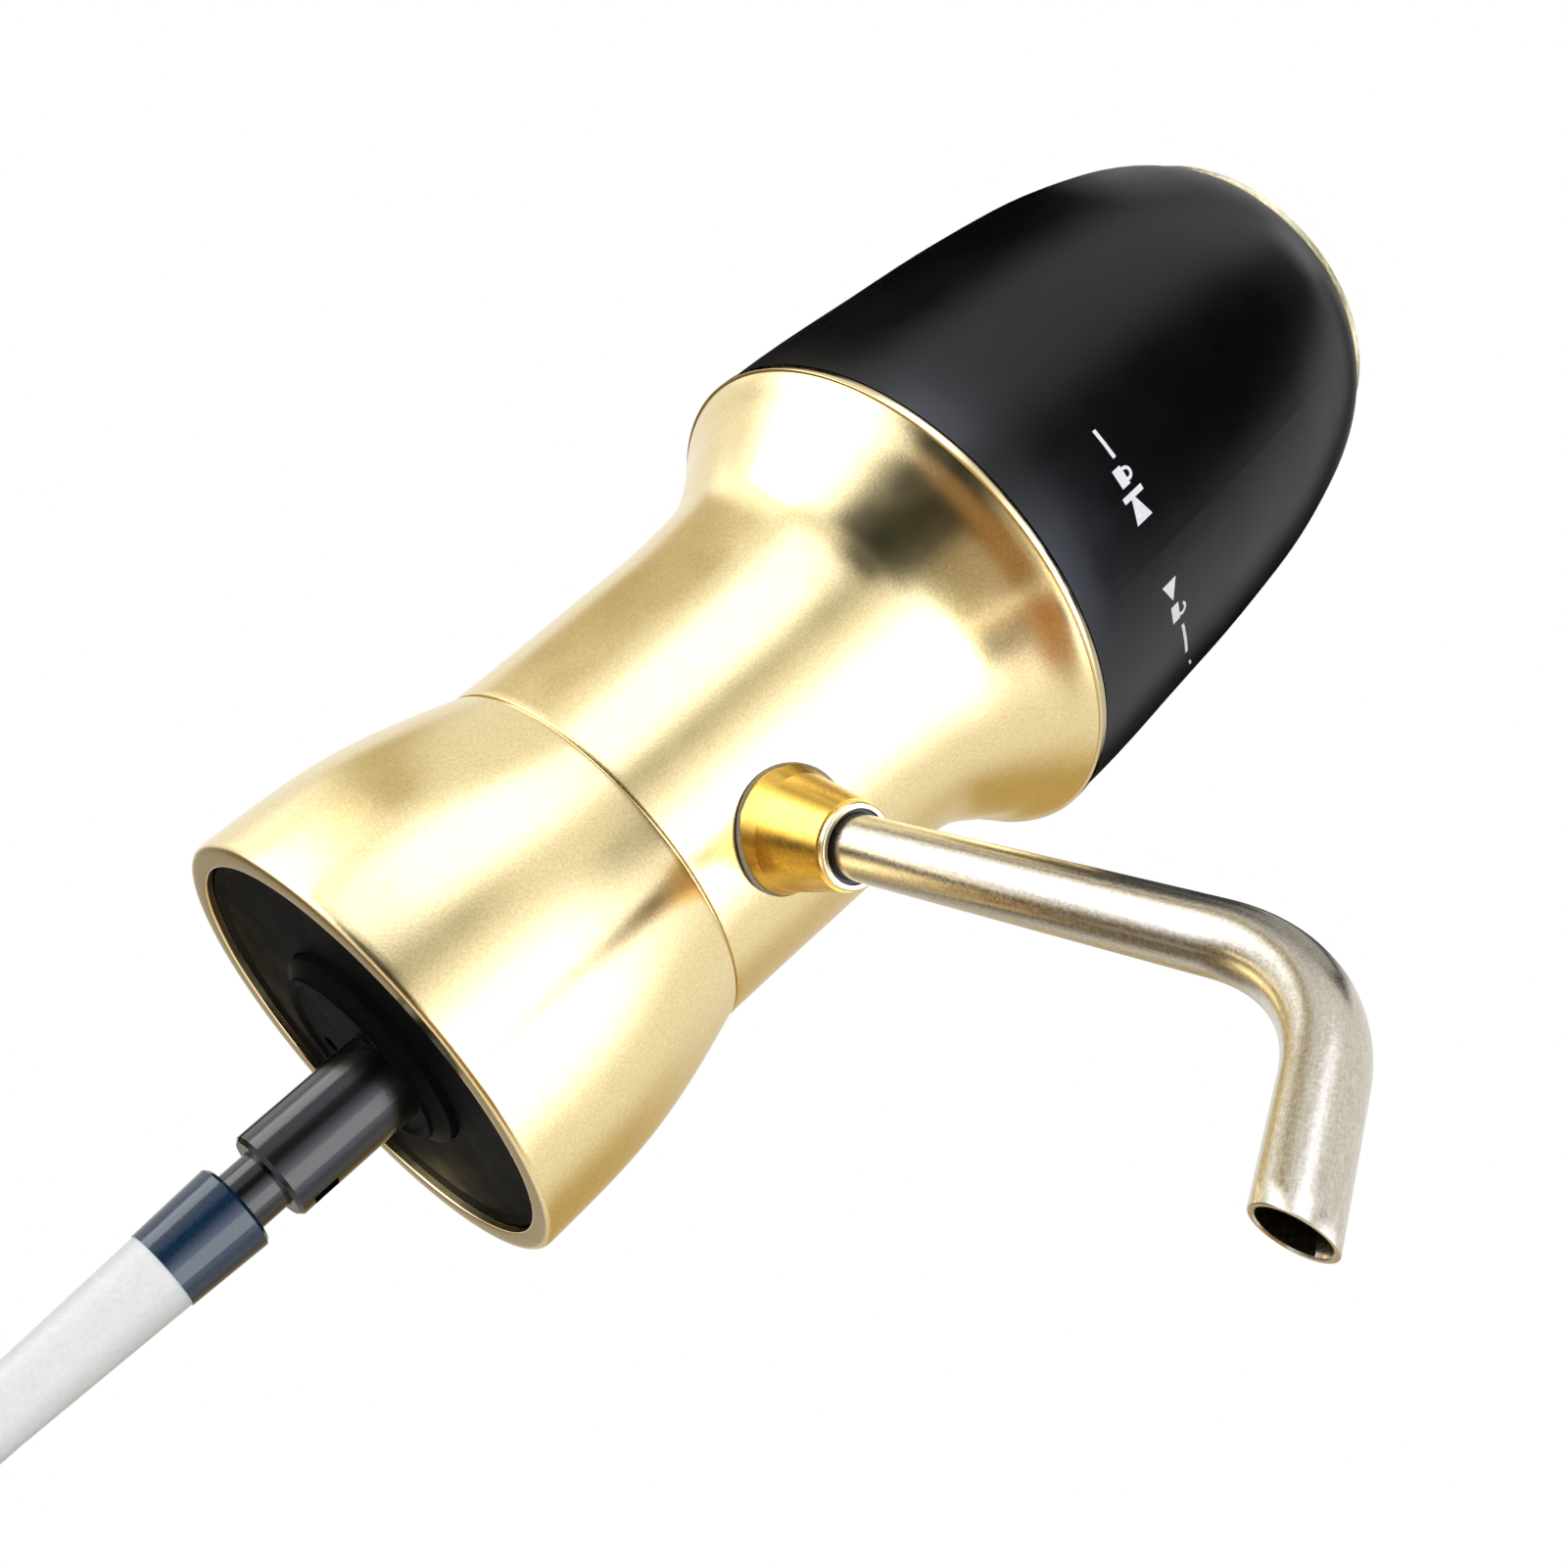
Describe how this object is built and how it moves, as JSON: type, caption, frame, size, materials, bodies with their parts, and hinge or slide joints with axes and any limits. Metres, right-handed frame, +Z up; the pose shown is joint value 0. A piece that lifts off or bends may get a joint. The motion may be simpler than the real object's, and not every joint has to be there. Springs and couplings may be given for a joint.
{
  "type": "electric wine aerator",
  "caption": "Battery-driven wine aerator and pourer that sits on a bottle's mouth, with a bent spout, dip tube and twist-off battery cap.",
  "frame": {"origin": "centre of the skirt's mouth at its lowest edge, where the bottle's neck enters", "axes": "+Z up the body towards the button, +X along the spout's level run"},
  "size_m": [0.1315, 0.061, 0.4258],
  "materials": {
    "anodised_gold": "drawn aluminium, fine bead-blasted and anodised champagne gold",
    "polished_gold": "diamond-turned bright edge, clear anodised champagne gold",
    "plated_gold": "turned and polished, gold plated",
    "cap_black": "moulded ABS with a smooth satin-gloss black coat",
    "brushed_spout": "bent stainless tube, finely brushed along its length",
    "black_nylon": "moulded black plastic, low sheen",
    "black_silicone": "moulded silicone, dull",
    "blue_silicone": "moulded silicone, slate blue, slight sheen",
    "pale_silicone": "pale silicone, slightly cloudy",
    "white_tube": "extruded white polyethylene",
    "pump_plastic": "moulded dark grey plastic",
    "nickel_steel": "nickel-plated steel",
    "steel_fastener": "zinc-plated steel",
    "magnet_ferrite": "sintered ferrite",
    "rotor_iron": "laminated iron on a steel shaft",
    "contact_brass": "stamped brass",
    "board_green": "glass-epoxy board with green solder mask",
    "switch_black": "moulded black plastic",
    "cell_jacket": "plain printed shrink jacket over a steel can"
  },
  "bodies": {
    "base": {"skirt_shell": "anodised_gold", "body_shell": "anodised_gold", "rim_ring": "polished_gold", "joint_sleeve": "black_nylon", "base_plate": "black_nylon", "retaining_ring": "black_nylon", "bottle_gasket": "black_silicone", "intake_nozzle": "black_nylon", "riser_hose": "pale_silicone", "air_hose": "pale_silicone", "flow_block": "black_nylon", "spout_seal": "black_silicone", "spout_collar": "plated_gold", "collar_gasket": "pale_silicone", "wiper_ring": "black_silicone", "pump_head": "pump_plastic", "valve_plate": "pump_plastic", "diaphragm": "black_silicone", "swing_plate": "pump_plastic", "pump_frame": "pump_plastic", "pump_screws": "steel_fastener", "motor_can": "nickel_steel", "motor_bush": "contact_brass", "motor_magnets": "magnet_ferrite", "motor_end_cap": "black_nylon", "motor_terminals": "contact_brass", "bayonet_deck": "black_nylon", "deck_screws": "steel_fastener", "contact_rings": "contact_brass"},
    "intake": {"intake_stub": "black_nylon", "coupling_sleeve": "blue_silicone", "dip_tube": "white_tube"},
    "spout": {"spout_tube": "brushed_spout", "spout_ferrule": "nickel_steel"},
    "pump_rotor": {"motor_rotor": "rotor_iron", "eccentric_cam": "contact_brass"},
    "battery_pack": {"battery_holder": "black_nylon", "holder_top": "black_nylon", "battery_cells": "cell_jacket", "cell_springs": "nickel_steel", "contact_plates": "nickel_steel", "contact_feet": "contact_brass", "switch_board": "board_green", "push_switch": "switch_black", "board_screws": "steel_fastener", "tie_screw": "steel_fastener"},
    "switch_stem": {"switch_plunger": "switch_black"},
    "cap": {"cap_shell": "cap_black", "top_ring": "polished_gold", "button_guide": "black_nylon", "guide_screws": "steel_fastener", "button_spring": "nickel_steel"},
    "push_button": {"button": "anodised_gold"}
  },
  "joints": [
    {"name": "tube_pull", "type": "slide", "parent": "base", "child": "intake", "axis": [0, 0, -1], "range_m": [0, 0.0105]},
    {"name": "spout_turn", "type": "hinge", "parent": "base", "child": "spout", "pos_m": [0, 0, 0.0413], "axis": [1, 0, 0], "range_deg": [-90, 90]},
    {"name": "rotor_spin", "type": "hinge", "parent": "base", "child": "pump_rotor", "pos_m": [0, 0, 0.0656], "axis": [0, 0, 1], "continuous": true},
    {"name": "cap_twist", "type": "hinge", "parent": "base", "child": "battery_pack", "pos_m": [0, 0, 0.0784], "axis": [0, 0, 1], "range_deg": [-9, 12]},
    {"name": "cap_lift", "type": "slide", "parent": "battery_pack", "child": "cap", "axis": [0, 0, 1], "range_m": [0, 0.06]},
    {"name": "button_press", "type": "slide", "parent": "cap", "child": "push_button", "axis": [0, 0, -1], "range_m": [0, 0.001], "stiffness_N_per_m": 800, "springref_m": -0.0005, "deforming": ["button_spring"]},
    {"name": "switch_press", "type": "slide", "parent": "battery_pack", "child": "switch_stem", "axis": [0, 0, -1], "range_m": [0, 0.001]}
  ],
  "couplings": [
    {"joint": "switch_press", "follows": "button_press", "ratio": 1}
  ]
}
